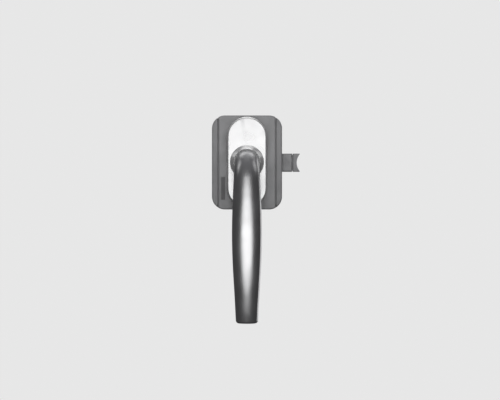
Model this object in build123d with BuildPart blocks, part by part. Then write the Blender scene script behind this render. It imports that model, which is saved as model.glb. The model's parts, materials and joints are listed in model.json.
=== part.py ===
from build123d import *
import math
import os

# Tilt-and-turn window handle standing on a flat spring-closer case.
#
# The origin is on the handle's turning axis, in the plane of the sash face. X points right, Z points up and
# the room is on the -Y side, so every "depth" below is a distance from the sash face towards the room, along -Y.
# The lever hangs down when the window is shut. A hook on two cords leaves the case on the right; the spring
# drum in the left bay winds the cords in again, at the speed that the fluid damper in the right bay allows.

os.makedirs("parts", exist_ok=True)

# ---------------------------------------------------------------- driving dimensions, in millimetres
RUN = 0.05  # radial running clearance
FIT = 0.1  # gap between fixed neighbours

# Closer case
CASE_WIDTH = 54.0
CASE_HEIGHT = 72.4
CASE_CORNER = 10.0
CASE_DEPTH = 14.0
SKIN = 1.5  # wall of the plastic shells
GASKET = 0.8
FLOOR = GASKET + SKIN  # inside face of the tray's back wall
TRAY_TOP = 5.0  # joint line between the tray and the covers
PANEL_HALF = 22.0
GROOVE = 0.8  # gap between the panel and a side cover
SIDE_DEPTH = 13.2  # front of the side covers, a little behind the panel
SIDE_ROUND = 1.2
LEDGE_DEPTH = 11.4  # floor of the groove
LEDGE_THICK = 1.0
COVER_BACK = TRAY_TOP + 0.05
EDGE_BEVEL = 0.8
BOSS_RADIUS = 2.2
CASE_SCREW_RADIUS = 0.85
CASE_SCREW_HEAD = 1.9
CASE_SCREW_END = 8.9
SPINDLE_HOLE = 5.3
FIELD_X, FIELD_Z = -18.4, -20.0  # centre of the blank name field
FIELD_WIDTH, FIELD_HEIGHT = 3.9, 18.2
FIELD_GROOVE = 0.45

# Standard window handle interface
SCREW_SPACING = 43.0
LUG_RADIUS = 5.0
LUG_CORE_RADIUS = 4.8  # inside the case
LUG_REACH = 6.0  # the reaches are how far each piece stands into the sash
SCREW_RADIUS = 2.5
SHANK_RADIUS = 2.1  # between the head and the end of the lug
SHANK_END = LUG_REACH + 0.5
SCREW_HEAD_RADIUS = 4.6
SCREW_REACH = 36.0
THREAD_START = 10.0  # how far inside the sash the thread begins
THREAD_PITCH = 0.8
THREAD_DEPTH = 0.35
RECESS_WIDTH = 1.1
RECESS_LENGTH = 5.0
RECESS_DEPTH = 2.4
SPINDLE_SIDE = 7.0
SPINDLE_REACH = 35.0
SPINDLE_TOP = 26.0

# Mounting plate, detent and rose
PLATE_LENGTH = 64.0
PLATE_WIDTH = 25.0
PLATE_THICK = 2.5
PLATE_BACK = CASE_DEPTH - PLATE_THICK
FLOOR_TOP = 10.3  # back of the pocket that holds the plate
HUB_RADIUS = 12.4
HUB_TOP = 21.0
SHAFT_RADIUS = 6.5
SHAFT_END = 9.5
BUSH_RADIUS = 8.0
BUSH_FLOOR = 18.0
NECK_RADIUS = 9.5
NECK_FLOOR = 22.0
DETENT_DEPTH = 16.0
BALL_RADIUS = 1.5
NOTCH_DEPTH = 0.6
CLIP_DEPTH = 10.4
CLIP_THICK = 0.9
CLIP_RADIUS = 8.2
GROOVE_RADIUS = 5.8
CLIP_GAP = 5.0
PIN_DEPTH = 24.0
PIN_RADIUS = 1.25
PIN_HALF = 8.5
DETENT_COIL_START = 9.85
DETENT_COIL_LENGTH = 2.2
DETENT_COIL_RADIUS = 1.0
DETENT_WIRE = 0.13
DETENT_TURNS = 4
RING_RADIUS = 13.5
RING_HEIGHT = 5.0
ROSE_WIDTH = 31.4
ROSE_HEIGHT = 70.6
ROSE_TOP = 23.5
ROSE_SKIN = 1.2
COLLAR_TOP = 27.0
COLLAR_FOOT_RADIUS = 13.4
COLLAR_TAPER = 40.0
ROSE_DRAFT = 5.0
ROSE_ROUND = 1.2

# Lever
NECK_TOP = 29.0  # depth where the grip's first section stands
BEND_START = 36.0
BEND_RADIUS = 15.0
BEND_ANGLE = 80.0
BOW_RADIUS = 240.0
BOW_ANGLE = 26.3
LAND_DRAFT = 1.0  # how far each side land leans outwards towards the back
TIP_ROUND = 2.2
BEND_SHARE = 0.21  # share of the centre line where the bend ends
LEVEL_SHARE = 0.8  # from here on the sections turn level, so that the tip is cut off level
BEND_FACETS = 10
GRIP_FACETS = 14

# Closer mechanism
BAY_X = 17.5  # distance of the drum axle and the damper axle from the middle
AXLE_DEPTH = 6.8
AXLE_RADIUS = 1.0
CORD_RADIUS = 0.5
CORD_RISE = 5.6  # height of each cord above and below the middle
CORD_TURNS = 3
WIND_RADIUS = 2.8  # centre line of the wound cord
CORD_DEPTH = AXLE_DEPTH - WIND_RADIUS
DRUM_HALF = 9.4
FLANGE_RADIUS = 4.4
BELT_RISE = 30.1
BELT_RADIUS = 0.55
PULLEY_PITCH = 2.8
PULLEY_RADIUS = 3.15
PULLEY_HALF = 1.4
SPRING_RADIUS = 3.1
SPRING_WIRE = 0.4
SPRING_TURNS = 16
DAMPER_LOW, DAMPER_HIGH = 10.0, 27.0
DAMPER_RADIUS = 4.3
ROTOR_RADIUS = 1.2
AXLE_HALF = 34.0
TUBE_RADIUS = 1.8
CORE_RADIUS = 2.2
SPRING_FOOT = 31.8
SPRING_LENGTH = 21.0
CAP_THICK = 1.6
DAMPER_WALL = 0.9
SEAL_WIRE = 0.35
SEAL_ROOM = 0.9
PADDLE_REACH = 3.0
ARM_HALF = 7.0
ARM_BEVEL = 0.8
ARROW_SINK = 0.6
ARROW_HALF = 1.6
ARROW_RISE = 3.6
FLANGE_FRONT = 25.3  # X of the flange's outer face, behind the case wall
FLANGE_THICK = 1.8
FERRULE_RADIUS = 0.9
FERRULE_LENGTH = 2.1
CATCH_WIDTH = 1.6
CATCH_HALF = 3.0
CATCH_DEPTH = 3.0
ARM_END = 35.0
ARM_DEPTH = 8.0
ARM_FOOT = 0.6
HOOK_START = 35.6
HOOK_END = 40.7
HOOK_HOLLOW = 10.3  # radius of the hollow outer edge
HOOK_WAIST = 2.8  # thickness left in the middle of the hollow edge
HOOK_BEVEL = 0.25
NOSE_DEPTH = 6.5  # the step at the arm's end that fills the gap to the hook

SEAT_REACH = SHAFT_RADIUS + BALL_RADIUS - NOTCH_DEPTH  # ball centre when it sits in a notch
FREE_REACH = SHAFT_RADIUS + BALL_RADIUS + RUN / 2  # ball centre when it runs on the shaft
# x, z, width, height above the axle, slot radius of each rib on the tray's floor
RIB_SHIFT = 0.4  # towards the middle of the case
RIBS = [
    (-BAY_X, 32.2, 7.0, 1.8, AXLE_RADIUS + RUN),
    (-BAY_X, -33.7, 7.0, 1.8, AXLE_RADIUS + RUN),
    (BAY_X, 32.2, 7.0, 1.8, ROTOR_RADIUS + RUN),
    (BAY_X, 17.0, 11.6, 0.0, DAMPER_RADIUS + FIT),
    (BAY_X, 23.0, 11.6, 0.0, DAMPER_RADIUS + FIT),
]
LUG_PLACES = [(0, SCREW_SPACING / 2), (0, -SCREW_SPACING / 2)]
BOSS_PLACES = [(x, z) for x in (-10, 10) for z in (-13, 13)]


def at_depth(depth):
    """A sketch plane parallel to the sash; its x is X, its y is Z and its normal points into the room."""
    return Plane.XZ.offset(depth)


def on_axle(x, z=0.0):
    """A sketch plane across an upright axle of the mechanism, at height z; its normal is +Z."""
    return Plane(origin=(x, -AXLE_DEPTH, z), x_dir=(1, 0, 0), z_dir=(0, 0, 1))


def on_circle(reach, turn):
    """The point at a distance from the middle and a turn in degrees."""
    return reach * math.cos(math.radians(turn)), reach * math.sin(math.radians(turn))


def case_outline(inset=0.0):
    """Draws the case's rounded outline, moved in by inset, in the open sketch."""
    RectangleRounded(CASE_WIDTH - 2 * inset, CASE_HEIGHT - 2 * inset, CASE_CORNER - inset)


def keep_between(left, right):
    """Keeps only the part of the open sketch between two X values."""
    with Locations(((left + right) / 2, 0)):
        Rectangle(right - left, 2 * CASE_HEIGHT, mode=Mode.INTERSECT)


def stadium(length, width):
    """Draws an upright stadium in the open sketch."""
    SlotOverall(length, width, rotation=90)


def disc(radius, places=((0, 0),), bore=0.0, mode=Mode.ADD):
    """Draws round discs or rings at some places of the open sketch."""
    with Locations(*places):
        Circle(radius, mode=mode)
        if bore:
            Circle(bore, mode=Mode.SUBTRACT)


# ---------------------------------------------------------------- lever
# Each station: share of the centre line, half width, height of the crown, depth of the back.
GRIP_STATIONS = [
    (0.05, 9.5, 9.4, 9.4),
    (0.20, 9.9, 7.7, 8.1),
    (0.36, 10.8, 6.7, 7.1),
    (0.52, 11.15, 6.3, 6.6),
    (0.68, 10.55, 5.9, 6.2),
    (0.84, 9.3, 5.4, 5.6),
    (1.00, 8.25, 4.8, 4.9),
]


def grip_size(share):
    """Half width, crown and back at a share of the centre line, on a smooth curve through the stations."""
    last = len(GRIP_STATIONS) - 1
    lower = max(i for i in range(last) if GRIP_STATIONS[i][0] <= share + 1e-6)
    before, start, end, after = (GRIP_STATIONS[min(max(lower + step, 0), last)] for step in (-1, 0, 1, 2))
    part_way = (share - start[0]) / (end[0] - start[0])
    sizes = []
    for value in (1, 2, 3):
        first_slope = (end[value] - before[value]) / (end[0] - before[0]) * (end[0] - start[0])
        last_slope = (after[value] - start[value]) / (after[0] - start[0]) * (end[0] - start[0])
        rise = end[value] - start[value]
        curve = (first_slope + last_slope - 2 * rise) * part_way + 3 * rise - 2 * first_slope - last_slope
        sizes.append(start[value] + (curve * part_way + first_slope) * part_way)
    return sizes


def grip_section(plane, half_width, crown, back):
    """One section of the grip: crowned front, a narrow leaning land on each side and a rounded back."""
    crease = (half_width - LAND_DRAFT, 0.30 * crown)
    corner = (half_width, -0.25 * back)
    with BuildSketch(plane) as profile:
        with BuildLine():
            front = ThreePointArc((-crease[0], crease[1]), (0, crown), crease)
            right_land = Line(front @ 1, corner)
            rear = ThreePointArc(right_land @ 1, (0, -back), (-corner[0], corner[1]))
            Line(rear @ 1, front @ 0)
        make_face()
    return profile.sketch


def neck_section(plane):
    """The round neck as four arcs, one for each edge of a grip section; the side arcs are a hair flatter."""
    breaks = [155, 25, -12, -168, -205]
    with BuildSketch(plane) as profile:
        with BuildLine():
            for number, (start, end) in enumerate(zip(breaks, breaks[1:])):
                flatter = NECK_RADIUS - 0.01 * (number % 2)
                spots = [(NECK_RADIUS, start), (flatter, (start + end) / 2), (NECK_RADIUS, end)]
                ThreePointArc(*[on_circle(reach, turn) for reach, turn in spots])
        make_face()
    return profile.sketch


# Centre line of the grip in the plane X = 0: straight out of the neck, round the bend, then a shallow bow.
with BuildLine(Plane.YZ) as grip_line:
    neck_line = Line((-NECK_TOP, 0), (-BEND_START, 0))
    bend = JernArc(neck_line @ 1, neck_line % 1, BEND_RADIUS, BEND_ANGLE)
    JernArc(bend @ 1, bend % 1, BOW_RADIUS, BOW_ANGLE)
centre_line = grip_line.wires()[0]

bend_steps = [0.05 + (BEND_SHARE - 0.05) * step / BEND_FACETS for step in range(BEND_FACETS)]
grip_steps = [BEND_SHARE + (1 - BEND_SHARE) * step / GRIP_FACETS for step in range(GRIP_FACETS + 1)]
sections = [neck_section(at_depth(NECK_TOP))]
for share in bend_steps + grip_steps:
    levelled = max(0, (share - LEVEL_SHARE) / (1 - LEVEL_SHARE))
    direction = (centre_line % share) * (1 - levelled) + Vector(0, 0, -1) * levelled
    here = Plane(origin=centre_line @ share, x_dir=(1, 0, 0), z_dir=direction)
    sections.append(grip_section(here, *grip_size(share)))

with BuildPart() as lever:
    loft(sections=sections, ruled=True)
    fillet(lever.faces().sort_by(Axis.Z)[0].edges(), TIP_ROUND)
    # neck and shaft, turned about the handle's axis
    extrude(neck_section(at_depth(NECK_FLOOR)), amount=NECK_TOP - NECK_FLOOR)
    with BuildSketch(at_depth(SHAFT_END)):
        disc(SHAFT_RADIUS)
    extrude(amount=NECK_FLOOR - SHAFT_END)
    with BuildSketch(at_depth(CLIP_DEPTH)):
        disc(SHAFT_RADIUS + 1, bore=GROOVE_RADIUS)
    extrude(amount=CLIP_THICK + FIT, mode=Mode.SUBTRACT)
    # four notches for the detent balls, a quarter turn apart
    for quarter in range(4):
        x, z = on_circle(SEAT_REACH, 90 * quarter)
        with Locations((x, -DETENT_DEPTH, z)):
            Sphere(BALL_RADIUS + RUN, mode=Mode.SUBTRACT)
    with BuildSketch(at_depth(SHAFT_END)):
        Rectangle(SPINDLE_SIDE + FIT, SPINDLE_SIDE + FIT)
    extrude(amount=SPINDLE_TOP + FIT - SHAFT_END, mode=Mode.SUBTRACT)
    with BuildSketch(Plane.YZ):
        disc(PIN_RADIUS + 0.01, [(-PIN_DEPTH, 0)])
    extrude(amount=2 * NECK_RADIUS, both=True, mode=Mode.SUBTRACT)
lever.part.label = "lever"
export_step(lever.part, "parts/lever.step")

# ---------------------------------------------------------------- spindle, pin, bush, clip and detents
with BuildPart() as square_spindle:
    with BuildSketch(at_depth(-SPINDLE_REACH)):
        Rectangle(SPINDLE_SIDE, SPINDLE_SIDE)
    extrude(amount=SPINDLE_REACH + SPINDLE_TOP)
    chamfer(square_spindle.faces().sort_by(Axis.Y)[-1].edges(), 0.8)
    with BuildSketch(Plane.YZ):
        disc(PIN_RADIUS + 0.01, [(-PIN_DEPTH, 0)])
    extrude(amount=SPINDLE_SIDE, both=True, mode=Mode.SUBTRACT)
square_spindle.part.label = "square_spindle"
export_step(square_spindle.part, "parts/square_spindle.step")

with BuildPart() as spindle_pin:
    with BuildSketch(Plane.YZ):
        disc(PIN_RADIUS, [(-PIN_DEPTH, 0)])
    extrude(amount=PIN_HALF, both=True)
    chamfer(spindle_pin.edges().filter_by(GeomType.CIRCLE), 0.25)
spindle_pin.part.label = "spindle_pin"
export_step(spindle_pin.part, "parts/spindle_pin.step")

with BuildPart() as neck_bush:
    with BuildSketch(at_depth(BUSH_FLOOR + FIT)):
        disc(BUSH_RADIUS, bore=SHAFT_RADIUS + RUN)
    extrude(amount=HUB_TOP + FIT - BUSH_FLOOR)
    with BuildSketch(at_depth(HUB_TOP + 0.02)):
        disc(NECK_RADIUS - 0.2, bore=SHAFT_RADIUS + RUN)
    extrude(amount=NECK_FLOOR - HUB_TOP - FIT)
neck_bush.part.label = "neck_bush"
export_step(neck_bush.part, "parts/neck_bush.step")

with BuildPart() as retaining_clip:
    with BuildSketch(at_depth(CLIP_DEPTH + RUN)):
        disc(CLIP_RADIUS, bore=GROOVE_RADIUS + RUN)
        with Locations((0, -CLIP_RADIUS)):
            Rectangle(CLIP_GAP, 2 * (CLIP_RADIUS - GROOVE_RADIUS) + CLIP_GAP, mode=Mode.SUBTRACT)
    extrude(amount=CLIP_THICK)
retaining_clip.part.label = "retaining_clip"
export_step(retaining_clip.part, "parts/retaining_clip.step")

with BuildPart() as detent_ball_left:
    with Locations((-FREE_REACH, -DETENT_DEPTH, 0)):
        Sphere(BALL_RADIUS)
detent_ball_left.part.label = "detent_ball_left"
export_step(detent_ball_left.part, "parts/detent_ball_left.step")

with BuildPart() as detent_ball_right:
    with Locations((FREE_REACH, -DETENT_DEPTH, 0)):
        Sphere(BALL_RADIUS)
detent_ball_right.part.label = "detent_ball_right"
export_step(detent_ball_right.part, "parts/detent_ball_right.step")

with BuildPart() as detent_springs:
    with BuildLine() as coil_line:
        Helix(
            pitch=DETENT_COIL_LENGTH / DETENT_TURNS,
            height=DETENT_COIL_LENGTH,
            radius=DETENT_COIL_RADIUS,
            center=(DETENT_COIL_START, -DETENT_DEPTH, 0),
            direction=(1, 0, 0),
        )
    with BuildSketch(Plane(origin=coil_line.edge() @ 0, z_dir=coil_line.edge() % 0)):
        Circle(DETENT_WIRE)
    sweep(path=coil_line.edge(), is_frenet=True)
    mirror(about=Plane.YZ)
detent_springs.part.label = "detent_springs"
export_step(detent_springs.part, "parts/detent_springs.step")

# ---------------------------------------------------------------- mounting plate, its ring and its screws
with BuildPart() as mounting_plate:
    with BuildSketch(at_depth(PLATE_BACK)):
        stadium(PLATE_LENGTH, PLATE_WIDTH)
    extrude(amount=PLATE_THICK)
    with BuildSketch(at_depth(CASE_DEPTH)):
        disc(HUB_RADIUS)
    extrude(amount=HUB_TOP - CASE_DEPTH)
    with BuildSketch(at_depth(-LUG_REACH)):
        disc(LUG_RADIUS, LUG_PLACES)
    extrude(amount=LUG_REACH)
    with BuildSketch(at_depth(0)):
        disc(LUG_CORE_RADIUS, LUG_PLACES)
    extrude(amount=PLATE_BACK)
    with BuildSketch(at_depth(PLATE_BACK)):
        disc(SHAFT_RADIUS + RUN)
    extrude(amount=HUB_TOP, mode=Mode.SUBTRACT)
    with BuildSketch(at_depth(BUSH_FLOOR)):
        disc(BUSH_RADIUS + 0.02)
    extrude(amount=HUB_TOP, mode=Mode.SUBTRACT)
    for side in (-1, 1):
        with BuildSketch(Plane.YZ):
            disc(BALL_RADIUS + RUN, [(-DETENT_DEPTH, 0)])
        extrude(amount=side * (HUB_RADIUS + 1), mode=Mode.SUBTRACT)
    with Locations(*[Location((x, -CASE_DEPTH, z), (90, 0, 0)) for x, z in LUG_PLACES]):
        CounterSinkHole(SCREW_RADIUS + 0.15, SCREW_HEAD_RADIUS + FIT, depth=CASE_DEPTH + LUG_REACH)
mounting_plate.part.label = "mounting_plate"
export_step(mounting_plate.part, "parts/mounting_plate.step")

with BuildPart() as cap_ring:
    with BuildSketch(at_depth(CASE_DEPTH + FIT)):
        disc(RING_RADIUS, bore=HUB_RADIUS + 0.02)
    extrude(amount=RING_HEIGHT)
    chamfer(cap_ring.faces().sort_by(Axis.Y)[0].edges().sort_by(SortBy.RADIUS)[-1], 0.4)
cap_ring.part.label = "cap_ring"
export_step(cap_ring.part, "parts/cap_ring.step")

with BuildPart() as one_screw:
    with BuildSketch(Plane.YZ):
        with BuildLine():
            head_foot = -(CASE_DEPTH - (SCREW_HEAD_RADIUS - SHANK_RADIUS))
            head = [(-CASE_DEPTH, 0), (-CASE_DEPTH, SCREW_HEAD_RADIUS), (head_foot, SHANK_RADIUS)]
            corner = (SHANK_END, SCREW_RADIUS)
            Polyline(*head, (SHANK_END, SHANK_RADIUS), corner)
            grooves = int((SCREW_REACH - THREAD_START - 1) / THREAD_PITCH)
            for groove in range(grooves):
                crest = THREAD_START + groove * THREAD_PITCH
                root = (crest + THREAD_PITCH / 2, SCREW_RADIUS - THREAD_DEPTH)
                Polyline(corner, (crest, SCREW_RADIUS), root)
                corner = root
            tip_radius = SCREW_RADIUS - 2 * THREAD_DEPTH
            Polyline(corner, (SCREW_REACH, tip_radius), (SCREW_REACH, 0), (-CASE_DEPTH, 0))
        make_face()
    revolve(axis=Axis.Y)
    with BuildSketch(at_depth(CASE_DEPTH)):
        Rectangle(RECESS_WIDTH, RECESS_LENGTH)
        Rectangle(RECESS_LENGTH, RECESS_WIDTH)
    extrude(amount=-RECESS_DEPTH, taper=8, mode=Mode.SUBTRACT)

with BuildPart() as fixing_screws:
    for x, z in LUG_PLACES:
        add(one_screw.part.moved(Location((x, 0, z))))
fixing_screws.part.label = "fixing_screws"
export_step(fixing_screws.part, "parts/fixing_screws.step")

# ---------------------------------------------------------------- rose cap
with BuildPart() as rose_cap:
    with BuildSketch(at_depth(CASE_DEPTH + FIT)):
        stadium(ROSE_HEIGHT, ROSE_WIDTH)
    extrude(amount=ROSE_TOP - CASE_DEPTH - FIT, taper=ROSE_DRAFT)
    fillet(rose_cap.faces().sort_by(Axis.Y)[0].edges(), ROSE_ROUND)
    with BuildSketch(at_depth(ROSE_TOP - 0.5)):
        disc(COLLAR_FOOT_RADIUS)
    extrude(amount=COLLAR_TOP - ROSE_TOP + 0.5, taper=COLLAR_TAPER)
    fillet(rose_cap.faces().sort_by(Axis.Y)[0].edges(), 0.5)
    with BuildSketch(at_depth(CASE_DEPTH)):
        stadium(ROSE_HEIGHT - 2 * ROSE_SKIN, ROSE_WIDTH - 2 * ROSE_SKIN)
    extrude(amount=ROSE_TOP - ROSE_SKIN - CASE_DEPTH, taper=ROSE_DRAFT, mode=Mode.SUBTRACT)
    with BuildSketch(at_depth(CASE_DEPTH)):
        disc(NECK_RADIUS + 0.3)
    extrude(amount=COLLAR_TOP, mode=Mode.SUBTRACT)
rose_cap.part.label = "rose_cap"
export_step(rose_cap.part, "parts/rose_cap.step")

# ---------------------------------------------------------------- closer case
with BuildPart() as rear_gasket:
    with BuildSketch(at_depth(0)):
        case_outline(0.5)
        disc(SPINDLE_HOLE, mode=Mode.SUBTRACT)
        disc(LUG_RADIUS + 0.4, LUG_PLACES, mode=Mode.SUBTRACT)
        disc(CASE_SCREW_HEAD + 0.5, BOSS_PLACES, mode=Mode.SUBTRACT)
    extrude(amount=GASKET)
rear_gasket.part.label = "rear_gasket"
export_step(rear_gasket.part, "parts/rear_gasket.step")

with BuildPart() as rear_tray:
    with BuildSketch(at_depth(GASKET)):
        case_outline()
    extrude(amount=TRAY_TOP - GASKET)
    with BuildSketch(at_depth(FLOOR)):
        case_outline(SKIN)
    extrude(amount=TRAY_TOP, mode=Mode.SUBTRACT)
    with BuildSketch(at_depth(FLOOR)):
        disc(LUG_RADIUS + SKIN, LUG_PLACES)
    extrude(amount=FLOOR_TOP - FIT - FLOOR)
    # ribs with open slots for the drum axle and the damper shaft, and two cradles for the damper
    for x, z, width, height, slot in RIBS:
        with BuildSketch(on_axle(x, z)):
            with Locations((RIB_SHIFT if x < 0 else -RIB_SHIFT, (AXLE_DEPTH - FLOOR - height) / 2)):
                Rectangle(width, AXLE_DEPTH - FLOOR + height)
            disc(slot, mode=Mode.SUBTRACT)
            with Locations((0, -AXLE_DEPTH)):
                Rectangle(2 * slot, 2 * AXLE_DEPTH, mode=Mode.SUBTRACT)
        extrude(amount=SKIN)
    with BuildSketch(at_depth(GASKET)):
        disc(SPINDLE_HOLE)
        disc(LUG_RADIUS + 0.15, LUG_PLACES)
        disc(CASE_SCREW_RADIUS + 0.25, BOSS_PLACES)
    extrude(amount=CASE_DEPTH, mode=Mode.SUBTRACT)
    with BuildSketch(at_depth(GASKET)):
        disc(CASE_SCREW_HEAD + FIT, BOSS_PLACES)
    extrude(amount=CASE_SCREW_HEAD - CASE_SCREW_RADIUS, taper=45, mode=Mode.SUBTRACT)
    with BuildSketch(at_depth(FLOOR)):
        with Locations((CASE_WIDTH / 2, 0)):
            Rectangle(4 * SKIN, 2 * ARM_HALF + 2 * FIT)
    extrude(amount=CASE_DEPTH, mode=Mode.SUBTRACT)
rear_tray.part.label = "rear_tray"
export_step(rear_tray.part, "parts/rear_tray.step")

with BuildPart() as front_cover:
    with BuildSketch(at_depth(COVER_BACK)):
        case_outline()
        keep_between(-PANEL_HALF, PANEL_HALF)
    extrude(amount=CASE_DEPTH - COVER_BACK)
    chamfer(front_cover.faces().sort_by(Axis.Y)[0].edges(), EDGE_BEVEL)
    with BuildSketch(at_depth(COVER_BACK)):
        case_outline(SKIN)
    extrude(amount=CASE_DEPTH - SKIN - COVER_BACK, mode=Mode.SUBTRACT)
    # lips that stand on the side covers' ledges
    with BuildSketch(at_depth(LEDGE_DEPTH + FIT)):
        case_outline(SKIN)
        keep_between(-PANEL_HALF, PANEL_HALF)
        Rectangle(2 * (PANEL_HALF - SKIN), CASE_HEIGHT, mode=Mode.SUBTRACT)
    extrude(amount=CASE_DEPTH - SKIN - LEDGE_DEPTH)
    # pocket for the mounting plate
    with BuildSketch(at_depth(FLOOR_TOP)):
        stadium(PLATE_LENGTH + 2 * SKIN + 2 * FIT, PLATE_WIDTH + 2 * SKIN + 2 * FIT)
    extrude(amount=CASE_DEPTH - SKIN - FLOOR_TOP)
    with BuildSketch(at_depth(PLATE_BACK)):
        stadium(PLATE_LENGTH + 4 * FIT, PLATE_WIDTH + 4 * FIT)
    extrude(amount=PLATE_THICK, mode=Mode.SUBTRACT)
    with BuildSketch(at_depth(FLOOR + FIT)):
        disc(BOSS_RADIUS, BOSS_PLACES, bore=CASE_SCREW_RADIUS + RUN)
    extrude(amount=FLOOR_TOP - FLOOR)
    with BuildSketch(at_depth(FLOOR_TOP)):
        disc(CLIP_RADIUS + 0.8)
        disc(LUG_RADIUS + 0.15, LUG_PLACES)
    extrude(amount=CASE_DEPTH, mode=Mode.SUBTRACT)
    # blank name field: a fine groove round a smooth patch
    with BuildSketch(at_depth(CASE_DEPTH)):
        with Locations((FIELD_X, FIELD_Z)):
            RectangleRounded(FIELD_WIDTH, FIELD_HEIGHT, 0.6)
            Rectangle(FIELD_WIDTH - 2 * FIELD_GROOVE, FIELD_HEIGHT - 2 * FIELD_GROOVE, mode=Mode.SUBTRACT)
    extrude(amount=-FIELD_GROOVE, mode=Mode.SUBTRACT)
front_cover.part.label = "front_cover"
export_step(front_cover.part, "parts/front_cover.step")

for side, name in ((-1, "left_side_cover"), (1, "right_side_cover")):
    groove_edge, ledge_edge = side * (PANEL_HALF + GROOVE), side * (PANEL_HALF - 1)
    web_edge = side * (CASE_WIDTH / 2 - 2 * SKIN)
    with BuildPart() as side_cover:
        with BuildSketch(at_depth(COVER_BACK)):
            case_outline()
            keep_between(*sorted((groove_edge, side * CASE_WIDTH)))
        extrude(amount=SIDE_DEPTH - COVER_BACK)
        front_edges = side_cover.faces().sort_by(Axis.Y)[0].edges()
        fillet(front_edges.sort_by(Axis.X)[1:] if side > 0 else front_edges.sort_by(Axis.X)[:-1], SIDE_ROUND)
        with BuildSketch(at_depth(COVER_BACK)):
            case_outline(SKIN)
            keep_between(*sorted((web_edge, side * CASE_WIDTH)))
        extrude(amount=SIDE_DEPTH - SKIN - COVER_BACK, mode=Mode.SUBTRACT)
        # the ledge under the groove, and its walls inside the ends of the front cover
        with BuildSketch(at_depth(COVER_BACK)):
            case_outline(SKIN + FIT)
            keep_between(*sorted((ledge_edge, web_edge)))
        extrude(amount=LEDGE_DEPTH - COVER_BACK)
        with BuildSketch(at_depth(COVER_BACK)):
            case_outline(2 * SKIN)
            keep_between(*sorted((ledge_edge, web_edge)))
        extrude(amount=LEDGE_DEPTH - LEDGE_THICK - COVER_BACK, mode=Mode.SUBTRACT)
        if side > 0:
            with BuildSketch(at_depth(COVER_BACK)):
                with Locations((CASE_WIDTH / 2, 0)):
                    Rectangle(4 * SKIN, 2 * ARM_HALF + 2 * FIT)
            extrude(amount=ARM_DEPTH + FIT - COVER_BACK, mode=Mode.SUBTRACT)
    side_cover.part.label = name
    export_step(side_cover.part, f"parts/{name}.step")

with BuildPart() as case_screws:
    with BuildSketch(at_depth(GASKET + RUN)):
        disc(CASE_SCREW_HEAD, BOSS_PLACES)
    extrude(amount=CASE_SCREW_HEAD - CASE_SCREW_RADIUS, taper=45)
    with BuildSketch(at_depth(GASKET + RUN)):
        disc(CASE_SCREW_RADIUS, BOSS_PLACES)
    extrude(amount=CASE_SCREW_END - GASKET)
    with BuildSketch(at_depth(GASKET + RUN)):
        with Locations(*BOSS_PLACES):
            Rectangle(0.5, 2.2)
            Rectangle(2.2, 0.5)
    extrude(amount=0.6, mode=Mode.SUBTRACT)
case_screws.part.label = "case_screws"
export_step(case_screws.part, "parts/case_screws.step")

# ---------------------------------------------------------------- spring drum in the left bay
with BuildPart() as drum_axle:
    with BuildSketch(on_axle(-BAY_X, -AXLE_HALF)):
        Circle(AXLE_RADIUS)
    extrude(amount=2 * AXLE_HALF)
    chamfer(drum_axle.edges().filter_by(GeomType.CIRCLE), 0.2)
drum_axle.part.label = "drum_axle"
export_step(drum_axle.part, "parts/drum_axle.step")

# Each stretch of the drum: bottom, top and radius.
DRUM_STEPS = [
    (-SPRING_FOOT, -DRUM_HALF, TUBE_RADIUS),
    (-DRUM_HALF, -DRUM_HALF + 1, FLANGE_RADIUS),
    (-DRUM_HALF + 1, DRUM_HALF - 1, CORE_RADIUS),
    (-CORD_RISE + 0.7, CORD_RISE - 0.7, FLANGE_RADIUS - 0.8),
    (DRUM_HALF - 1, DRUM_HALF, FLANGE_RADIUS),
    (DRUM_HALF, BELT_RISE - PULLEY_HALF, TUBE_RADIUS),
    (BELT_RISE - PULLEY_HALF, BELT_RISE + PULLEY_HALF, PULLEY_RADIUS),
]

with BuildPart() as cord_drum:
    for low, high, radius in DRUM_STEPS:
        with BuildSketch(on_axle(-BAY_X, low)):
            Circle(radius)
        extrude(amount=high - low)
    with BuildSketch(on_axle(-BAY_X, -AXLE_HALF)):
        Circle(AXLE_RADIUS + RUN)
    extrude(amount=2 * AXLE_HALF, mode=Mode.SUBTRACT)
    with Locations((-BAY_X, -AXLE_DEPTH, BELT_RISE)):
        Torus(PULLEY_PITCH, BELT_RADIUS + RUN, mode=Mode.SUBTRACT)
cord_drum.part.label = "cord_drum"
export_step(cord_drum.part, "parts/cord_drum.step")

with BuildPart() as cord_windings:
    for turn in range(CORD_TURNS):
        height = CORD_RISE + turn * (2 * CORD_RADIUS + 0.04)
        with Locations((-BAY_X, -AXLE_DEPTH, height), (-BAY_X, -AXLE_DEPTH, -height)):
            Torus(WIND_RADIUS, CORD_RADIUS)
cord_windings.part.label = "cord_windings"
export_step(cord_windings.part, "parts/cord_windings.step")

with BuildPart() as return_spring:
    with BuildLine() as spring_line:
        Helix(
            pitch=SPRING_LENGTH / SPRING_TURNS,
            height=SPRING_LENGTH,
            radius=SPRING_RADIUS,
            center=(-BAY_X, -AXLE_DEPTH, -DRUM_HALF - SPRING_LENGTH - 0.6),
        )
    with BuildSketch(Plane(origin=spring_line.edge() @ 0, z_dir=spring_line.edge() % 0)):
        Circle(SPRING_WIRE)
    sweep(path=spring_line.edge(), is_frenet=True)
return_spring.part.label = "return_spring"
export_step(return_spring.part, "parts/return_spring.step")

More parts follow.
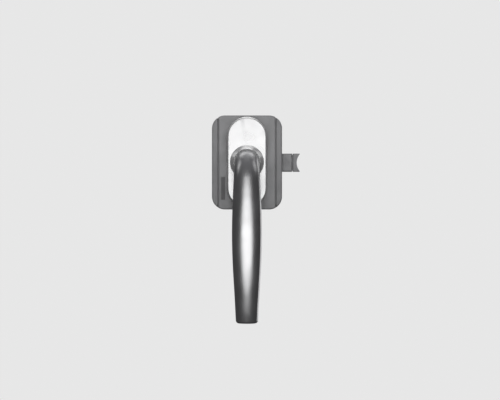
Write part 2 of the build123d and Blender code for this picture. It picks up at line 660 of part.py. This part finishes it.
with BuildPart() as drive_belt:
    with BuildLine(Plane.XY.offset(BELT_RISE)) as belt_line:
        back_run = Line((-BAY_X, -AXLE_DEPTH + PULLEY_PITCH), (BAY_X, -AXLE_DEPTH + PULLEY_PITCH))
        right_bend = RadiusArc(back_run @ 1, (BAY_X, -AXLE_DEPTH - PULLEY_PITCH), PULLEY_PITCH)
        front_run = Line(right_bend @ 1, (-BAY_X, -AXLE_DEPTH - PULLEY_PITCH))
        RadiusArc(front_run @ 1, back_run @ 0, PULLEY_PITCH)
    with BuildSketch(Plane(origin=back_run @ 0, x_dir=(0, 1, 0), z_dir=(1, 0, 0))):
        Circle(BELT_RADIUS)
    sweep(path=belt_line.wires()[0])
drive_belt.part.label = "drive_belt"
export_step(drive_belt.part, "parts/drive_belt.step")

# ---------------------------------------------------------------- fluid damper in the right bay
with BuildPart() as damper_case:
    with BuildSketch(on_axle(BAY_X, DAMPER_LOW)):
        Circle(DAMPER_RADIUS)
    extrude(amount=DAMPER_HIGH - CAP_THICK - DAMPER_LOW)
    with BuildSketch(on_axle(BAY_X, DAMPER_LOW + 1.2)):
        Circle(DAMPER_RADIUS - DAMPER_WALL)
    extrude(amount=DAMPER_HIGH - DAMPER_LOW, mode=Mode.SUBTRACT)
    fillet(damper_case.faces().sort_by(Axis.Z)[0].edges(), 0.5)
damper_case.part.label = "damper_case"
export_step(damper_case.part, "parts/damper_case.step")

with BuildPart() as damper_cap:
    with BuildSketch(on_axle(BAY_X, DAMPER_HIGH - CAP_THICK + 0.02)):
        Circle(DAMPER_RADIUS)
    extrude(amount=CAP_THICK - 0.02)
    with BuildSketch(on_axle(BAY_X, DAMPER_HIGH - CAP_THICK - 1)):
        Circle(DAMPER_RADIUS - DAMPER_WALL - 0.02)
    extrude(amount=1.1)
    with BuildSketch(on_axle(BAY_X, DAMPER_LOW)):
        Circle(ROTOR_RADIUS + RUN)
    extrude(amount=2 * DAMPER_HIGH, mode=Mode.SUBTRACT)
    with BuildSketch(on_axle(BAY_X, DAMPER_HIGH - SEAL_ROOM)):
        Circle(ROTOR_RADIUS + 2 * SEAL_WIRE + 0.06)
    extrude(amount=SEAL_ROOM, mode=Mode.SUBTRACT)
damper_cap.part.label = "damper_cap"
export_step(damper_cap.part, "parts/damper_cap.step")

with BuildPart() as damper_seal:
    with Locations((BAY_X, -AXLE_DEPTH, DAMPER_HIGH - SEAL_ROOM / 2)):
        Torus(ROTOR_RADIUS + SEAL_WIRE + 0.03, SEAL_WIRE)
damper_seal.part.label = "damper_seal"
export_step(damper_seal.part, "parts/damper_seal.step")

with BuildPart() as damper_rotor:
    with BuildSketch(on_axle(BAY_X, DAMPER_LOW + 1.5)):
        Circle(ROTOR_RADIUS)
    extrude(amount=AXLE_HALF - DAMPER_LOW - 1.5)
    with BuildSketch(on_axle(BAY_X, DAMPER_LOW + 2)):
        Rectangle(2 * PADDLE_REACH, 1)
        Rectangle(1, 2 * PADDLE_REACH)
    extrude(amount=DAMPER_HIGH - DAMPER_LOW - 6)
damper_rotor.part.label = "damper_rotor"
export_step(damper_rotor.part, "parts/damper_rotor.step")

with BuildPart() as damper_pulley:
    with BuildSketch(on_axle(BAY_X, BELT_RISE - PULLEY_HALF)):
        Circle(PULLEY_RADIUS)
        Circle(ROTOR_RADIUS + 0.02, mode=Mode.SUBTRACT)
    extrude(amount=2 * PULLEY_HALF)
    with Locations((BAY_X, -AXLE_DEPTH, BELT_RISE)):
        Torus(PULLEY_PITCH, BELT_RADIUS + RUN, mode=Mode.SUBTRACT)
damper_pulley.part.label = "damper_pulley"
export_step(damper_pulley.part, "parts/damper_pulley.step")

# ---------------------------------------------------------------- guide arm, hook and cords
with BuildPart() as guide_arm:
    with BuildSketch(at_depth(ARM_FOOT)):
        with Locations(((CASE_WIDTH / 2 + RUN + ARM_END) / 2, 0)):
            Rectangle(ARM_END - CASE_WIDTH / 2 - RUN, 2 * ARM_HALF)
    extrude(amount=ARM_DEPTH - ARM_FOOT)
    chamfer(guide_arm.faces().sort_by(Axis.Y)[0].edges(), ARM_BEVEL)
    # the step at the far end
    with BuildSketch(at_depth(ARM_FOOT)):
        with Locations(((ARM_END + HOOK_START) / 2 - 0.5, 0)):
            Rectangle(HOOK_START - ARM_END - 2 * RUN + 1, 2 * ARM_HALF - 2 * ARM_BEVEL)
    extrude(amount=NOSE_DEPTH - ARM_FOOT)
    # the neck through the case wall and the flange behind it
    with BuildSketch(at_depth(FLOOR + FIT)):
        with Locations(((FLANGE_FRONT + CASE_WIDTH / 2) / 2 + 0.3, 0)):
            Rectangle(CASE_WIDTH / 2 - FLANGE_FRONT + 0.6, 2 * ARM_HALF)
    extrude(amount=ARM_DEPTH - FLOOR - FIT)
    with BuildSketch(at_depth(FLOOR + FIT)):
        with Locations((FLANGE_FRONT - FLANGE_THICK / 2, 0)):
            Rectangle(FLANGE_THICK, 2 * ARM_HALF + 2.4)
    extrude(amount=ARM_DEPTH + 1 - FLOOR)
    with BuildSketch(Plane.YZ):
        disc(CORD_RADIUS + 0.15, [(-CORD_DEPTH, CORD_RISE), (-CORD_DEPTH, -CORD_RISE)])
    extrude(amount=CASE_WIDTH, mode=Mode.SUBTRACT)
    # sunk triangle that points to the hook
    with BuildSketch(at_depth(ARM_DEPTH)):
        with BuildLine():
            middle = (CASE_WIDTH / 2 + ARM_END) / 2
            tail = middle - ARROW_HALF
            Polyline((tail, -ARROW_RISE), (middle + ARROW_HALF, 0), (tail, ARROW_RISE), close=True)
        make_face()
    extrude(amount=-ARROW_SINK, mode=Mode.SUBTRACT)
guide_arm.part.label = "guide_arm"
export_step(guide_arm.part, "parts/guide_arm.step")

with BuildPart() as cord_hook:
    with BuildSketch(at_depth(ARM_FOOT)):
        with Locations(((HOOK_START + HOOK_END) / 2, 0)):
            Rectangle(HOOK_END - HOOK_START, 2 * ARM_HALF)
        with Locations((HOOK_START + HOOK_WAIST + HOOK_HOLLOW, 0)):
            Circle(HOOK_HOLLOW, mode=Mode.SUBTRACT)
    extrude(amount=ARM_DEPTH - ARM_FOOT)
    chamfer(cord_hook.faces().sort_by(Axis.Y)[0].edges(), HOOK_BEVEL)
    with BuildSketch(Plane.YZ.offset(HOOK_START)):
        disc(FERRULE_RADIUS + RUN, [(-CORD_DEPTH, CORD_RISE), (-CORD_DEPTH, -CORD_RISE)])
    extrude(amount=FERRULE_LENGTH + FIT, mode=Mode.SUBTRACT)
    # slot at the back that drops over the catch on the frame
    with BuildSketch(at_depth(ARM_FOOT)):
        with Locations((HOOK_START + CATCH_WIDTH / 2 + 0.5, 0)):
            Rectangle(CATCH_WIDTH, 2 * CATCH_HALF)
    extrude(amount=CATCH_DEPTH, mode=Mode.SUBTRACT)
cord_hook.part.label = "cord_hook"
export_step(cord_hook.part, "parts/cord_hook.step")

with BuildPart() as draw_cords:
    with BuildSketch(Plane.YZ.offset(-BAY_X + CORD_RADIUS + 2.1)):
        disc(CORD_RADIUS, [(-CORD_DEPTH, CORD_RISE), (-CORD_DEPTH, -CORD_RISE)])
    extrude(amount=HOOK_START + FERRULE_LENGTH + BAY_X - CORD_RADIUS - 2.1)
draw_cords.part.label = "draw_cords"
export_step(draw_cords.part, "parts/draw_cords.step")

with BuildPart() as cord_ferrules:
    with BuildSketch(Plane.YZ.offset(HOOK_START + RUN)):
        disc(FERRULE_RADIUS, [(-CORD_DEPTH, CORD_RISE), (-CORD_DEPTH, -CORD_RISE)], bore=CORD_RADIUS + 0.02)
    extrude(amount=FERRULE_LENGTH - RUN)
cord_ferrules.part.label = "cord_ferrules"
export_step(cord_ferrules.part, "parts/cord_ferrules.step")
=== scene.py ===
import json
import math

import bpy
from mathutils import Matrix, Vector


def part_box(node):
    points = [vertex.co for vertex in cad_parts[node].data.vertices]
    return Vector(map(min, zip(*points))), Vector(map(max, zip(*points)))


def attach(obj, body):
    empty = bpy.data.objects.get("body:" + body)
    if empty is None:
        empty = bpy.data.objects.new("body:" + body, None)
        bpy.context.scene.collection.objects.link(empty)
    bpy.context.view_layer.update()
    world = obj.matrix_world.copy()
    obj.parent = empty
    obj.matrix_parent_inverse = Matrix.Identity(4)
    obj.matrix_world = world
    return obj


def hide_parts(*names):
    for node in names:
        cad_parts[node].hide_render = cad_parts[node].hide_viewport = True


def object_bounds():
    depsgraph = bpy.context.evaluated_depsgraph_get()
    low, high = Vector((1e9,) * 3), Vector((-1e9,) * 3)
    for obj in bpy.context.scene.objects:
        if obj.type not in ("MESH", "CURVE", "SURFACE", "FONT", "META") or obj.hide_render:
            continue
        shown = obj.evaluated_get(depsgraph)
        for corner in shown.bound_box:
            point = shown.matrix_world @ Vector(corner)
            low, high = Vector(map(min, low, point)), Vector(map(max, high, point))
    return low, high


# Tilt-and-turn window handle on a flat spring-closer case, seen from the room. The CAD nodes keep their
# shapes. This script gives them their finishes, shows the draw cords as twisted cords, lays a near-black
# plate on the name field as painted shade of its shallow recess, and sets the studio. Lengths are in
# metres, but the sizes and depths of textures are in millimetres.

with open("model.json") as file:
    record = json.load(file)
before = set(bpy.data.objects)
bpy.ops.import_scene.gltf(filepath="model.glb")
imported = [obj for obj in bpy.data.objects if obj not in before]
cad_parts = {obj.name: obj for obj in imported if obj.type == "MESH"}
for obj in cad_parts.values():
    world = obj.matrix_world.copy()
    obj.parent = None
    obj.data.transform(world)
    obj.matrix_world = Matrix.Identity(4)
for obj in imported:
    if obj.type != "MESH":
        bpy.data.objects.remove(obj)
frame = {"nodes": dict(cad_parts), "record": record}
cad_low, cad_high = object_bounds()

MM = 0.001
NODES = frame["nodes"]

# ---------------------------------------------------------------- node helpers
NOISE_LOW, NOISE_HIGH = 0.3, 0.7  # most of a noise texture's values lie between these


def shader(name):
    """A new material with its nodes, links and surface shader."""
    material = bpy.data.materials.new(name)
    material.use_nodes = True
    tree = material.node_tree
    return material, tree.nodes, tree.links, tree.nodes["Principled BSDF"]


def grain(nodes, links, size, detail=2.0, stretch=(1, 1, 1)):
    """Noise in the row frame with features of about size millimetres, longer along the axes stretched."""
    place = nodes.new("ShaderNodeTexCoord")
    mapping = nodes.new("ShaderNodeMapping")
    mapping.inputs["Scale"].default_value = [1 / (size * MM * s) for s in stretch]
    noise = nodes.new("ShaderNodeTexNoise")
    noise.inputs["Scale"].default_value = 1.0
    noise.inputs["Detail"].default_value = detail
    links.new(place.outputs["Object"], mapping.inputs["Vector"])
    links.new(mapping.outputs["Vector"], noise.inputs["Vector"])
    return noise.outputs["Fac"]


def spread(nodes, links, source, low=0, high=1):
    """The middle of a noise's range mapped to low..high."""
    span = nodes.new("ShaderNodeMapRange")
    span.interpolation_type = "SMOOTHERSTEP"
    span.inputs["From Min"].default_value = NOISE_LOW
    span.inputs["From Max"].default_value = NOISE_HIGH
    span.inputs["To Min"].default_value = low
    span.inputs["To Max"].default_value = high
    links.new(source, span.inputs["Value"])
    return span.outputs["Result"]


def tint(nodes, links, source, first, second):
    """A colour between first and second, by source."""
    mix = nodes.new("ShaderNodeMix")
    mix.data_type = "RGBA"
    mix.inputs["A"].default_value = (*first, 1)
    mix.inputs["B"].default_value = (*second, 1)
    links.new(source, mix.inputs["Factor"])
    return mix.outputs["Result"]


def relief(nodes, links, height, depth, under=None):
    """Bump from a height; depth is in millimetres, and under is an earlier bump's normal."""
    bump = nodes.new("ShaderNodeBump")
    bump.inputs["Strength"].default_value = 1.0
    bump.inputs["Distance"].default_value = depth * MM
    links.new(height, bump.inputs["Height"])
    if under:
        links.new(under, bump.inputs["Normal"])
    return bump.outputs["Normal"]


# ---------------------------------------------------------------- finishes


def moulded_plastic(name, colour, texture_size, texture_depth, roughness):
    """Injection-moulded plastic with a spark-eroded texture, faint flow shading and handled patches."""
    material, nodes, links, surface = shader(name)
    patches = spread(nodes, links, grain(nodes, links, size=14, detail=3))
    worn = [min(1, 1.16 * c + 0.004) for c in colour]
    links.new(tint(nodes, links, patches, colour, worn), surface.inputs["Base Color"])
    fine = grain(nodes, links, texture_size, detail=3)
    coarse = grain(nodes, links, 4 * texture_size)
    normal = relief(nodes, links, fine, texture_depth)
    normal = relief(nodes, links, coarse, 0.8 * texture_depth, normal)
    links.new(normal, surface.inputs["Normal"])
    wear = spread(nodes, links, grain(nodes, links, size=9, detail=4), roughness, roughness + 0.1)
    links.new(wear, surface.inputs["Roughness"])
    surface.inputs["Specular IOR Level"].default_value = 0.45
    return material


def satin_metal(name, colour, roughness, line_depth=0.0008, metallic=1.0):
    """Satin metal: a fine blasted grain, faint upright lines and uneven polish from hands."""
    material, nodes, links, surface = shader(name)
    surface.inputs["Metallic"].default_value = metallic
    darker = [0.97 * c for c in colour]
    clouds = spread(nodes, links, grain(nodes, links, size=22))
    links.new(tint(nodes, links, clouds, darker, colour), surface.inputs["Base Color"])
    polish = spread(nodes, links, grain(nodes, links, size=12), roughness - 0.02, roughness + 0.04)
    links.new(polish, surface.inputs["Roughness"])
    blasted = relief(nodes, links, grain(nodes, links, size=0.18), depth=0.0012)
    scratches = grain(nodes, links, size=0.25, stretch=(1, 1, 60))
    lines = relief(nodes, links, scratches, line_depth, blasted)
    links.new(lines, surface.inputs["Normal"])
    return material


def zinc_plated(name, colour, roughness):
    """Zinc-plated steel: clouds between a yellowish and a bluish tone, and a fine grain."""
    material, nodes, links, surface = shader(name)
    surface.inputs["Metallic"].default_value = 1.0
    warm = (colour[0] * 1.04, colour[1] * 0.99, colour[2] * 0.86)
    cool = (colour[0] * 0.92, colour[1] * 0.96, colour[2] * 1.02)
    clouds = spread(nodes, links, grain(nodes, links, size=3, detail=4))
    links.new(tint(nodes, links, clouds, warm, cool), surface.inputs["Base Color"])
    polish = spread(nodes, links, grain(nodes, links, size=1.2, detail=4), roughness - 0.06, roughness + 0.08)
    links.new(polish, surface.inputs["Roughness"])
    skin = relief(nodes, links, grain(nodes, links, size=0.2, detail=3), depth=0.004)
    links.new(skin, surface.inputs["Normal"])
    return material


def cast_zinc(name, colour):
    """Die-cast zinc: a dull skin with flow marks and fine pits."""
    material, nodes, links, surface = shader(name)
    surface.inputs["Metallic"].default_value = 1.0
    dull = [0.78 * c for c in colour]
    flow = spread(nodes, links, grain(nodes, links, size=2.5, detail=6, stretch=(1, 1, 3)))
    links.new(tint(nodes, links, flow, dull, colour), surface.inputs["Base Color"])
    links.new(spread(nodes, links, flow, 0.46, 0.38), surface.inputs["Roughness"])
    pits = relief(nodes, links, grain(nodes, links, size=0.35, detail=4), depth=0.012)
    links.new(pits, surface.inputs["Normal"])
    return material


def spring_steel(name, colour):
    """Oiled spring steel: dark drawn wire with streaks."""
    material, nodes, links, surface = shader(name)
    surface.inputs["Metallic"].default_value = 1.0
    streaks = spread(nodes, links, grain(nodes, links, size=0.6, detail=4))
    links.new(tint(nodes, links, streaks, [0.6 * c for c in colour], colour), surface.inputs["Base Color"])
    links.new(spread(nodes, links, streaks, 0.34, 0.2), surface.inputs["Roughness"])
    skin = relief(nodes, links, grain(nodes, links, size=0.12), depth=0.001)
    links.new(skin, surface.inputs["Normal"])
    return material


def natural_nylon(name, colour):
    """Natural nylon: milky, slightly translucent and yellowed in clouds."""
    material, nodes, links, surface = shader(name)
    aged = (colour[0] * 0.95, colour[1] * 0.9, colour[2] * 0.8)
    clouds = spread(nodes, links, grain(nodes, links, size=5, detail=3))
    links.new(tint(nodes, links, clouds, colour, aged), surface.inputs["Base Color"])
    surface.inputs["Subsurface Weight"].default_value = 0.25
    surface.inputs["Subsurface Radius"].default_value = (1.2 * MM, 1.0 * MM, 0.7 * MM)
    surface.inputs["Roughness"].default_value = 0.38
    skin = relief(nodes, links, grain(nodes, links, size=0.3, detail=3), depth=0.003)
    links.new(skin, surface.inputs["Normal"])
    return material


def soft_rubber(name, colour):
    """Rubber: nearly black, with grey bloom and a dull skin."""
    material, nodes, links, surface = shader(name)
    bloom = [c + 0.02 for c in colour]
    clouds = spread(nodes, links, grain(nodes, links, size=1.5, detail=5))
    links.new(tint(nodes, links, clouds, colour, bloom), surface.inputs["Base Color"])
    wear = spread(nodes, links, grain(nodes, links, size=4, detail=3), 0.6, 0.78)
    links.new(wear, surface.inputs["Roughness"])
    skin = relief(nodes, links, grain(nodes, links, size=0.25, detail=3), depth=0.008)
    links.new(skin, surface.inputs["Normal"])
    return material


def braided_cord(name, colour):
    """Dark polyester cord: fine filaments along each strand, with a soft sheen."""
    material, nodes, links, surface = shader(name)
    fibres = grain(nodes, links, size=0.07, detail=3, stretch=(6, 1, 1))
    pale = [2.2 * c for c in colour]
    links.new(tint(nodes, links, spread(nodes, links, fibres), colour, pale), surface.inputs["Base Color"])
    surface.inputs["Roughness"].default_value = 0.7
    surface.inputs["Sheen Weight"].default_value = 0.35
    surface.inputs["Sheen Roughness"].default_value = 0.4
    links.new(relief(nodes, links, fibres, depth=0.03), surface.inputs["Normal"])
    return material


# moulded_plastic takes the size and depth of its texture in millimetres, then the roughness.
FINISHES = {
    "lever_metal": satin_metal("lever_metal", (0.50, 0.50, 0.505), 0.31),
    "rose_metal": satin_metal("rose_metal", (0.545, 0.545, 0.547), 0.24, line_depth=0.0004, metallic=0.65),
    "zinc_plate": cast_zinc("zinc_plate", (0.62, 0.63, 0.62)),
    "zinc_steel": zinc_plated("zinc_steel", (0.70, 0.69, 0.64), 0.28),
    "spring_steel": spring_steel("spring_steel", (0.42, 0.42, 0.43)),
    "case_plastic": moulded_plastic("case_plastic", (0.200, 0.200, 0.204), 0.22, 0.010, 0.44),
    "side_plastic": moulded_plastic("side_plastic", (0.165, 0.165, 0.169), 0.22, 0.010, 0.44),
    "hook_plastic": moulded_plastic("hook_plastic", (0.145, 0.145, 0.150), 0.30, 0.006, 0.36),
    "damper_plastic": moulded_plastic("damper_plastic", (0.05, 0.05, 0.052), 0.30, 0.004, 0.32),
    "nylon": natural_nylon("nylon", (0.80, 0.78, 0.72)),
    "rubber": soft_rubber("rubber", (0.018, 0.018, 0.019)),
    "cord": braided_cord("cord", (0.035, 0.035, 0.038)),
}

# ---------------------------------------------------------------- CAD nodes
SAME_SPOT = 0.002 * MM  # corners this close are one corner
SLIVER = 0.01 * MM  # faces narrower than this don't make a crease
SAME_NORMAL = 0.003  # normals whose tips are this close count once
BAND_ANGLE = math.radians(16)  # CAD faces that meet at less than this shade as one
CREASE_ANGLE = math.radians(32)  # faces that meet at more than this shade apart
BEVEL_ANGLE = math.radians(50)  # edges sharper than this are softened on moulded pieces
BEVEL_WIDTH = 0.15 * MM
MOULDED = ("case_plastic", "side_plastic", "hook_plastic")


def spot_of(place):
    """A key that corners at the same spot share, although the CAD mesh splits them."""
    return tuple(round(c / SAME_SPOT) for c in place)


def mark_creases(mesh):
    """Marks the edges where two faces meet at more than the crease angle; slivers don't count."""
    spots, beside = {}, {}
    spot = [spots.setdefault(spot_of(corner.co), len(spots)) for corner in mesh.vertices]
    for face in mesh.polygons:
        sides = [(mesh.vertices[a].co - mesh.vertices[b].co).length for a, b in face.edge_keys]
        if face.area > SLIVER * max(sides) / 2:
            for a, b in face.edge_keys:
                beside.setdefault(frozenset((spot[a], spot[b])), []).append(face.normal)
    creases = []
    for edge in mesh.edges:
        normals = beside.get(frozenset(spot[corner] for corner in edge.vertices), [])
        creases.append(len(normals) == 2 and normals[0].angle(normals[1], 0) > CREASE_ANGLE)
    marks = mesh.attributes.get("sharp_edge") or mesh.attributes.new("sharp_edge", "BOOLEAN", "EDGE")
    marks.data.foreach_set("value", creases)


def even_normals(mesh):
    """Averages the CAD normals that meet at a spot within the band angle, so that bands shade as one face."""
    meeting, spots = {}, []
    normals = [normal.vector.copy() for normal in mesh.corner_normals]
    for corner in mesh.loops:
        spot = spot_of(mesh.vertices[corner.vertex_index].co)
        spots.append(spot)
        near = meeting.setdefault(spot, [])
        if all((other - normals[corner.index]).length > SAME_NORMAL for other in near):
            near.append(normals[corner.index])
    reach = 2 * math.sin(BAND_ANGLE / 2)
    averages = []
    for normal, spot in zip(normals, spots):
        joined = [other for other in meeting[spot] if (other - normal).length < reach]
        averages.append(sum(joined, Vector()).normalized())
    mesh.normals_split_custom_set(averages)


def soften_edges(piece, width):
    """Rounds a piece's edges by a width, and returns the modifier."""
    soften = piece.modifiers.new("soften", "BEVEL")
    soften.width = width
    soften.segments = 2
    return soften


def dress(node, slot):
    """Gives a CAD node its finish. Moulded pieces get softer edges, the others even normals."""
    piece = NODES[node]
    piece.data.materials.clear()
    piece.data.materials.append(FINISHES[slot])
    if slot not in MOULDED:
        even_normals(piece.data)
        return
    if "custom_normal" in piece.data.attributes:
        piece.data.attributes.remove(piece.data.attributes["custom_normal"])
    piece.data.shade_smooth()
    mark_creases(piece.data)
    weld = piece.modifiers.new("weld", "WELD")
    weld.merge_threshold = SAME_SPOT
    soften = soften_edges(piece, BEVEL_WIDTH)
    soften.limit_method = "ANGLE"
    soften.angle_limit = BEVEL_ANGLE
    soften.harden_normals = False
    even = piece.modifiers.new("even", "WEIGHTED_NORMAL")
    even.keep_sharp = True


for entry in frame["record"]["subparts"]:
    dress(entry["node"], entry["material_slot"])


def new_piece(name, corners, faces, finish):
    """A new mesh object in the scene, with one finish."""
    mesh = bpy.data.meshes.new(name)
    mesh.from_pydata(corners, [], faces)
    mesh.update()
    mesh.materials.append(FINISHES[finish])
    piece = bpy.data.objects.new(name, mesh)
    bpy.context.scene.collection.objects.link(piece)
    return piece


# ---------------------------------------------------------------- twisted draw cords
STRANDS = 3
STRAND_SIDES = 8
LAY_LENGTH = 2.6 * MM
STEPS_PER_LAY = 16


def strand(start, length, lay_radius, strand_radius, first_turn, first_corner):
    """The corners and faces of one strand winding along X; its corners are numbered from first_corner."""
    steps = math.ceil(length / LAY_LENGTH * STEPS_PER_LAY)
    corners, faces = [], []
    for step in range(steps + 1):
        along = length * step / steps
        turn = 2 * math.pi * (along / LAY_LENGTH + first_turn)
        middle = start + Vector((along, lay_radius * math.cos(turn), lay_radius * math.sin(turn)))
        for side in range(STRAND_SIDES):
            around = 2 * math.pi * side / STRAND_SIDES
            corners.append(middle + strand_radius * Vector((0, math.cos(around), math.sin(around))))
    for step in range(steps):
        ring = first_corner + step * STRAND_SIDES
        for side in range(STRAND_SIDES):
            after = (side + 1) % STRAND_SIDES
            faces.append((ring + side, ring + after, ring + STRAND_SIDES + after, ring + STRAND_SIDES + side))
    last = first_corner + steps * STRAND_SIDES
    faces.append([first_corner + side for side in reversed(range(STRAND_SIDES))])
    faces.append([last + side for side in range(STRAND_SIDES)])
    return corners, faces


def twisted_cord(name, z):
    """A cord of three strands twisted round each other, in the place of the CAD cord at height z."""
    strand_radius = CORD_RADIUS / (1 + 2 / math.sqrt(3))  # three touching strands fill the cord's circle
    start = Vector((cords_low.x, (cords_high.y + cords_low.y) / 2, z))
    length = cords_high.x - cords_low.x
    corners, faces = [], []
    for number in range(STRANDS):
        turn = number / STRANDS
        more = strand(start, length, CORD_RADIUS - strand_radius, strand_radius, turn, len(corners))
        corners += more[0]
        faces += more[1]
    cord = new_piece(name, corners, faces, "cord")
    cord.data.shade_smooth()
    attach(cord, "hook")
    return cord


cords_low, cords_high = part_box("draw_cords")
CORD_RADIUS = (cords_high.y - cords_low.y) / 2
upper_cord = twisted_cord("upper_draw_cord", cords_high.z - CORD_RADIUS)
twisted_cord("lower_draw_cord", cords_low.z + CORD_RADIUS)
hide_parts("draw_cords")

# ---------------------------------------------------------------- near-black plate: painted shade in the name field
PLATE_X, PLATE_Z = -18.4 * MM, -20.0 * MM  # the middle of the panel's name field
PLATE_WIDTH, PLATE_HEIGHT = 2.9 * MM, 17.2 * MM
PLATE_SUNK, PLATE_PROUD = 0.2 * MM, 0.06 * MM


def name_field_shade_plate():
    """A thin near-black plate on the patch inside the panel's grooved frame: painted shade that makes the
    shallow name field read dark.
    """
    panel_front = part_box("front_cover")[0].y
    corners = [
        (PLATE_X + PLATE_WIDTH / 2 * right, y, PLATE_Z + PLATE_HEIGHT / 2 * up)
        for y in (panel_front - PLATE_PROUD, panel_front + PLATE_SUNK)
        for right, up in ((-1, -1), (1, -1), (1, 1), (-1, 1))
    ]
    faces = [(0, 1, 2, 3), (7, 6, 5, 4)]
    faces += [(side, side + 4, (side + 1) % 4 + 4, (side + 1) % 4) for side in range(4)]
    # painted shade: the near-black damper_plastic finish on this plate darkens the name field as if its
    # recess were in shade
    plate = new_piece("name_field_shade_plate", corners, faces, "damper_plastic")
    soften_edges(plate, PLATE_PROUD)
    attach(plate, "case")


name_field_shade_plate()

# ---------------------------------------------------------------- studio
OBJECT_MIDDLE = (cad_low + cad_high) / 2
CAMERA_DISTANCE = 1.2
PHOTO_CENTRE = Vector((0.0023, 0, -0.0289))  # what the middle of the photograph looks at
FOCAL_LENGTH = 111
FLOOR_DROP = 0.075
FLOOR_REACH = 6.0
BACKDROP = (0.80, 0.80, 0.80, 1)
ROOM_WALLS = (0.07, 0.07, 0.072, 1)
ROOM_CEILING = (0.22, 0.22, 0.23, 1)


def studio_floor():
    """A wide floor below the lever's tip: pale like the backdrop to the camera, clear to the light."""
    height = cad_low.z - FLOOR_DROP
    mesh = bpy.data.meshes.new("studio_floor")
    corners = ((-1, -1), (1, -1), (1, 1), (-1, 1))
    square = [(FLOOR_REACH * right, FLOOR_REACH * back, height) for right, back in corners]
    mesh.from_pydata(square, [], [(0, 1, 2, 3)])
    floor = bpy.data.objects.new("studio_floor", mesh)
    bpy.context.scene.collection.objects.link(floor)
    material, nodes, links, surface = shader("studio_floor")
    nodes.remove(surface)
    pale = nodes.new("ShaderNodeEmission")
    pale.inputs["Color"].default_value = BACKDROP
    clear = nodes.new("ShaderNodeBsdfTransparent")
    seen = nodes.new("ShaderNodeLightPath")
    either = nodes.new("ShaderNodeMixShader")
    links.new(seen.outputs["Is Camera Ray"], either.inputs["Fac"])
    links.new(clear.outputs["BSDF"], either.inputs[1])
    links.new(pale.outputs["Emission"], either.inputs[2])
    links.new(either.outputs["Shader"], nodes["Material Output"].inputs["Surface"])
    mesh.materials.append(material)


def soft_box(name, place, width, height, glow, shape="RECTANGLE", mirrored=True, only=()):
    """A soft box that faces the object, unseen by the camera; glow is its power over pi * width * height.

    It can be kept out of reflections, or light only some nodes.
    """
    light = bpy.data.lights.new(name, "AREA")
    light.shape = shape
    light.size = width
    light.size_y = height
    light.energy = glow * math.pi * width * height
    lamp = bpy.data.objects.new(name, light)
    lamp.location = place
    lamp.rotation_mode = "QUATERNION"
    lamp.rotation_quaternion = (OBJECT_MIDDLE - Vector(place)).to_track_quat("-Z", "Y")
    lamp.visible_camera = False
    lamp.visible_glossy = mirrored
    if only:
        lit = bpy.data.collections.new(name)
        for node in only:
            lit.objects.link(NODES[node])
        lamp.light_linking.receiver_collection = lit
    bpy.context.scene.collection.objects.link(lamp)


def studio_air():
    """Pale surroundings for the camera, and a dark room with a grey ceiling for reflections."""
    world = bpy.data.worlds.new("studio_air")
    bpy.context.scene.world = world
    world.use_nodes = True
    nodes, links = world.node_tree.nodes, world.node_tree.links
    nodes.clear()
    place = nodes.new("ShaderNodeTexCoord")
    split = nodes.new("ShaderNodeSeparateXYZ")
    rise = nodes.new("ShaderNodeMapRange")
    rise.inputs["From Min"].default_value = 0.1
    rise.inputs["From Max"].default_value = 0.9
    room = nodes.new("ShaderNodeMix")
    room.data_type = "RGBA"
    room.inputs["A"].default_value = ROOM_WALLS
    room.inputs["B"].default_value = ROOM_CEILING
    seen = nodes.new("ShaderNodeLightPath")
    air = nodes.new("ShaderNodeMix")
    air.data_type = "RGBA"
    air.inputs["B"].default_value = BACKDROP
    background = nodes.new("ShaderNodeBackground")
    out = nodes.new("ShaderNodeOutputWorld")
    links.new(place.outputs["Generated"], split.inputs["Vector"])
    links.new(split.outputs["Z"], rise.inputs["Value"])
    links.new(rise.outputs["Result"], room.inputs["Factor"])
    links.new(room.outputs["Result"], air.inputs["A"])
    links.new(seen.outputs["Is Camera Ray"], air.inputs["Factor"])
    links.new(air.outputs["Result"], background.inputs["Color"])
    links.new(background.outputs["Background"], out.inputs["Surface"])


def studio_camera():
    """A camera square to the sash at the photograph's distance and height."""
    data = bpy.data.cameras.new("camera")
    data.lens = FOCAL_LENGTH
    camera = bpy.data.objects.new("camera", data)
    camera.location = PHOTO_CENTRE + Vector((0, -CAMERA_DISTANCE, 0))
    camera.rotation_euler = (math.pi / 2, 0, 0)
    bpy.context.scene.collection.objects.link(camera)
    bpy.context.scene.camera = camera


studio_floor()
soft_box("front_box", (0.0, -2.0, -0.25), width=2.8, height=1.4, glow=1.85, shape="ELLIPSE")
soft_box("fill_box", (0.0, -1.6, 1.2), width=1.8, height=1.2, glow=2.9, mirrored=False)
soft_box("back_box", (0.0, 1.7, 1.5), width=2.6, height=2.0, glow=1.2)
soft_box("left_box", (-2.0, 0.2, 1.4), width=0.9, height=1.1, glow=0.8)
soft_box("right_box", (2.0, 0.2, 1.4), width=0.9, height=1.1, glow=0.8)
soft_box("edge_box", (1.5, 1.7, 0.1), width=0.9, height=1.4, glow=1.3)
soft_box("top_box", (0.0, 0.2, 2.0), width=1.4, height=1.4, glow=0.12)
soft_box("collar_box", (0.0, 0.0, 1.6), width=1.2, height=1.3, glow=2.1, only=["rose_cap"])
studio_air()
studio_camera()
bpy.context.scene.view_settings.view_transform = "Standard"
